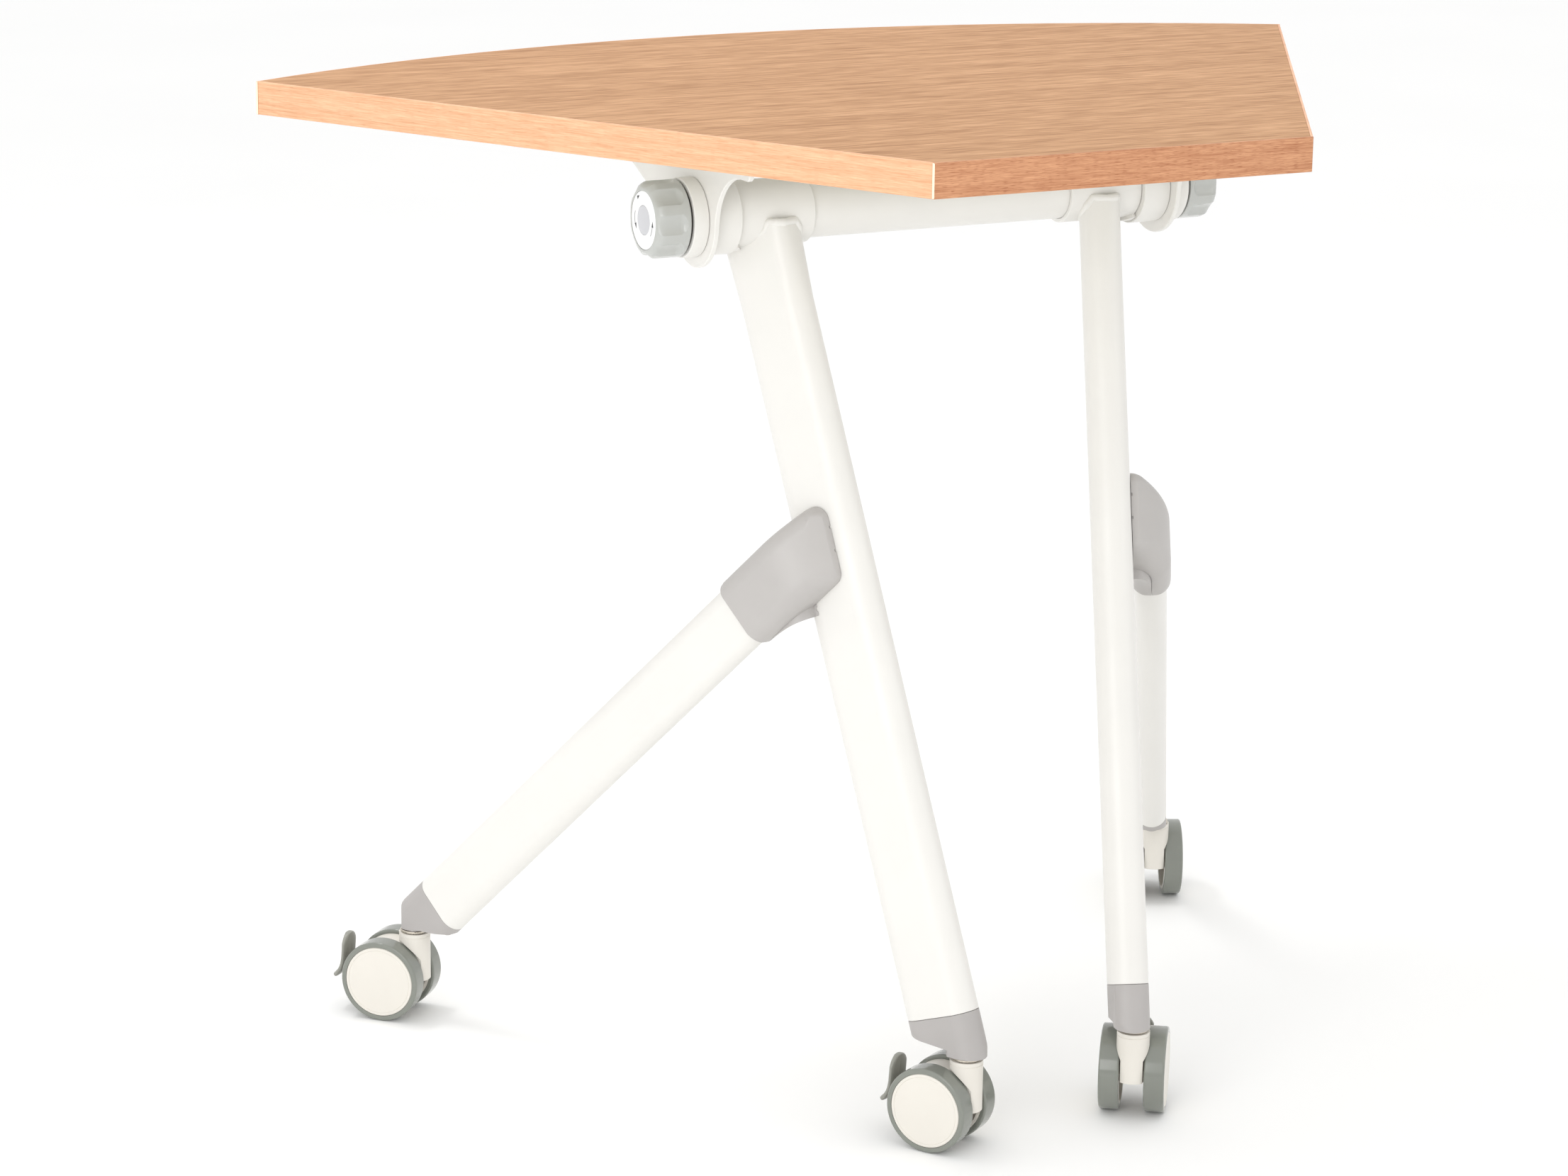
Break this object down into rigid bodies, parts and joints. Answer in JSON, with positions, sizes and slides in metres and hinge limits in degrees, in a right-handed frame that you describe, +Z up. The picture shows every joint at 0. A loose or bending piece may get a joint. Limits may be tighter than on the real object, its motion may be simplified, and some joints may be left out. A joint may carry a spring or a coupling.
{
  "type": "folding corner desk",
  "caption": "Fan-shaped folding corner desk: a beech-look top that flips upright on a white beam, splayed legs with braces and swivel castors with brakes.",
  "frame": {"origin": "on the floor under the middle of the top", "axes": "+Z up, +X along the beam, -Y towards the short front edge of the top"},
  "size_m": [0.9, 0.633, 0.75],
  "materials": {
    "beech_laminate": "satin wood-grain laminate on particle board",
    "beech_edge_band": "satin wood-grain edge band",
    "white_coat": "satin white powder coat",
    "grey_plastic": "fine-textured warm grey moulding",
    "knob_plastic": "glossy grey moulding",
    "dial_plate": "white printed plate",
    "cream_nylon": "satin cream nylon",
    "grey_polyurethane": "glossy grey tread",
    "lever_plastic": "satin grey moulding",
    "zinc_steel": "bright zinc plate"
  },
  "bodies": {
    "frame": {"beam_tube": "white_coat", "clamp_rod": "zinc_steel", "sleeve_left": "white_coat", "main_leg_left": "white_coat", "brace_left": "white_coat", "joint_cover_outer_left": "grey_plastic", "joint_cover_inner_left": "grey_plastic", "foot_cap_front_left": "grey_plastic", "foot_cap_rear_left": "grey_plastic", "sleeve_right": "white_coat", "main_leg_right": "white_coat", "brace_right": "white_coat", "joint_cover_outer_right": "grey_plastic", "joint_cover_inner_right": "grey_plastic", "foot_cap_front_right": "grey_plastic", "foot_cap_rear_right": "grey_plastic", "castor_stem_front_left": "zinc_steel", "castor_stem_rear_left": "zinc_steel", "castor_stem_front_right": "zinc_steel", "castor_stem_rear_right": "zinc_steel"},
    "top": {"table_top": "beech_laminate", "edge_band": "beech_edge_band", "bracket_left": "white_coat", "clutch_collar_left": "white_coat", "knob_collar_left": "white_coat", "bracket_right": "white_coat", "clutch_collar_right": "white_coat", "knob_collar_right": "white_coat"},
    "knob_left": {"knob_left": "knob_plastic", "knob_dial_left": "dial_plate"},
    "knob_right": {"knob_right": "knob_plastic", "knob_dial_right": "dial_plate"},
    "castor_front_left": {"castor_body_front_left": "cream_nylon", "castor_axle_front_left": "zinc_steel"},
    "wheel_front_left_a": {"wheel_hub_front_left_a": "cream_nylon", "tyre_front_left_a": "grey_polyurethane"},
    "wheel_front_left_b": {"wheel_hub_front_left_b": "cream_nylon", "tyre_front_left_b": "grey_polyurethane"},
    "lever_front_left": {"brake_lever_front_left": "lever_plastic"},
    "castor_rear_left": {"castor_body_rear_left": "cream_nylon", "castor_axle_rear_left": "zinc_steel"},
    "wheel_rear_left_a": {"wheel_hub_rear_left_a": "cream_nylon", "tyre_rear_left_a": "grey_polyurethane"},
    "wheel_rear_left_b": {"wheel_hub_rear_left_b": "cream_nylon", "tyre_rear_left_b": "grey_polyurethane"},
    "lever_rear_left": {"brake_lever_rear_left": "lever_plastic"},
    "castor_front_right": {"castor_body_front_right": "cream_nylon", "castor_axle_front_right": "zinc_steel"},
    "wheel_front_right_a": {"wheel_hub_front_right_a": "cream_nylon", "tyre_front_right_a": "grey_polyurethane"},
    "wheel_front_right_b": {"wheel_hub_front_right_b": "cream_nylon", "tyre_front_right_b": "grey_polyurethane"},
    "lever_front_right": {"brake_lever_front_right": "lever_plastic"},
    "castor_rear_right": {"castor_body_rear_right": "cream_nylon", "castor_axle_rear_right": "zinc_steel"},
    "wheel_rear_right_a": {"wheel_hub_rear_right_a": "cream_nylon", "tyre_rear_right_a": "grey_polyurethane"},
    "wheel_rear_right_b": {"wheel_hub_rear_right_b": "cream_nylon", "tyre_rear_right_b": "grey_polyurethane"},
    "lever_rear_right": {"brake_lever_rear_right": "lever_plastic"}
  },
  "joints": [
    {"name": "top_flip", "type": "hinge", "parent": "frame", "child": "top", "pos_m": [0, -0.02848, 0.6688], "axis": [1, 0, 0], "range_deg": [-90, 0]},
    {"name": "knob_left_turn", "type": "hinge", "parent": "frame", "child": "knob_left", "pos_m": [-0.21, -0.02848, 0.6688], "axis": [-1, 0, 0], "range_deg": [-120, 120]},
    {"name": "knob_right_turn", "type": "hinge", "parent": "frame", "child": "knob_right", "pos_m": [0.21, -0.02848, 0.6688], "axis": [1, 0, 0], "range_deg": [-120, 120]},
    {"name": "castor_front_left_swivel", "type": "hinge", "parent": "frame", "child": "castor_front_left", "pos_m": [-0.071, -0.24648, 0.06], "axis": [0, 0, 1], "continuous": true},
    {"name": "wheel_front_left_a_roll", "type": "hinge", "parent": "castor_front_left", "child": "wheel_front_left_a", "pos_m": [-0.08217, -0.22928, 0.0325], "axis": [-0.8387, -0.5446, 0], "continuous": true},
    {"name": "wheel_front_left_b_roll", "type": "hinge", "parent": "castor_front_left", "child": "wheel_front_left_b", "pos_m": [-0.08217, -0.22928, 0.0325], "axis": [-0.8387, -0.5446, 0], "continuous": true},
    {"name": "lever_front_left_press", "type": "hinge", "parent": "castor_front_left", "child": "lever_front_left", "pos_m": [-0.09775, -0.20528, 0.03964], "axis": [-0.8387, -0.5446, 0], "range_deg": [0, 20]},
    {"name": "castor_rear_left_swivel", "type": "hinge", "parent": "frame", "child": "castor_rear_left", "pos_m": [-0.3405, 0.17802, 0.06], "axis": [0, 0, 1], "continuous": true},
    {"name": "wheel_rear_left_a_roll", "type": "hinge", "parent": "castor_rear_left", "child": "wheel_rear_left_a", "pos_m": [-0.355, 0.19252, 0.0325], "axis": [-0.7071, -0.7071, 0], "continuous": true},
    {"name": "wheel_rear_left_b_roll", "type": "hinge", "parent": "castor_rear_left", "child": "wheel_rear_left_b", "pos_m": [-0.355, 0.19252, 0.0325], "axis": [-0.7071, -0.7071, 0], "continuous": true},
    {"name": "lever_rear_left_press", "type": "hinge", "parent": "castor_rear_left", "child": "lever_rear_left", "pos_m": [-0.37524, 0.21276, 0.03964], "axis": [-0.7071, -0.7071, 0], "range_deg": [0, 20]},
    {"name": "castor_front_right_swivel", "type": "hinge", "parent": "frame", "child": "castor_front_right", "pos_m": [0.071, -0.24648, 0.06], "axis": [0, 0, 1], "continuous": true},
    {"name": "wheel_front_right_a_roll", "type": "hinge", "parent": "castor_front_right", "child": "wheel_front_right_a", "pos_m": [0.08276, -0.22969, 0.0325], "axis": [-0.8192, 0.5736, 0], "continuous": true},
    {"name": "wheel_front_right_b_roll", "type": "hinge", "parent": "castor_front_right", "child": "wheel_front_right_b", "pos_m": [0.08276, -0.22969, 0.0325], "axis": [-0.8192, 0.5736, 0], "continuous": true},
    {"name": "lever_front_right_press", "type": "hinge", "parent": "castor_front_right", "child": "lever_front_right", "pos_m": [0.09918, -0.20624, 0.03964], "axis": [-0.8192, 0.5736, 0], "range_deg": [0, 20]},
    {"name": "castor_rear_right_swivel", "type": "hinge", "parent": "frame", "child": "castor_rear_right", "pos_m": [0.3405, 0.17802, 0.06], "axis": [0, 0, 1], "continuous": true},
    {"name": "wheel_rear_right_a_roll", "type": "hinge", "parent": "castor_rear_right", "child": "wheel_rear_right_a", "pos_m": [0.34916, 0.1966, 0.0325], "axis": [-0.9063, 0.4226, 0], "continuous": true},
    {"name": "wheel_rear_right_b_roll", "type": "hinge", "parent": "castor_rear_right", "child": "wheel_rear_right_b", "pos_m": [0.34916, 0.1966, 0.0325], "axis": [-0.9063, 0.4226, 0], "continuous": true},
    {"name": "lever_rear_right_press", "type": "hinge", "parent": "castor_rear_right", "child": "lever_rear_right", "pos_m": [0.36126, 0.22254, 0.03964], "axis": [-0.9063, 0.4226, 0], "range_deg": [0, 20]}
  ]
}
